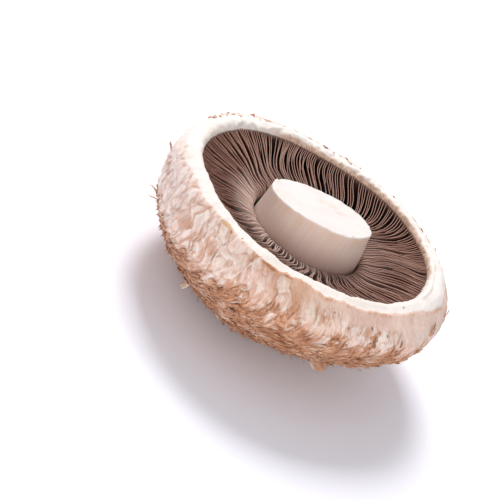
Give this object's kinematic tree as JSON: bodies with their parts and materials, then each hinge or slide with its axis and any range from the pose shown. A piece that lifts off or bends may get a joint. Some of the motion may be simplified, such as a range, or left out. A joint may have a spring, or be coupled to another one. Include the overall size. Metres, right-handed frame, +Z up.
{
  "type": "portobello mushroom",
  "caption": "Portobello mushroom with a short cut stem, lying on its scaly domed cap with the brown gills and rolled lip facing up.",
  "frame": {"origin": "on the surface that the cap rests on, in the middle of the small flat spot at the crown", "axes": "+Z up along the stem, away from the crown and towards the gills and the cut end of the stem; -Y is the side that faces the camera"},
  "size_m": [0.1062, 0.1049, 0.0469],
  "materials": {
    "cap": "matte skin with brown fibrous scales over cream flesh, creamy white on the rolled lip",
    "gills": "matte pinkish brown, nearly black in the gaps",
    "stem": "matte creamy white flesh with a smooth cut face"
  },
  "bodies": {
    "root": {"cap": "cap", "gills": "gills", "stem": "stem"}
  },
  "joints": []
}
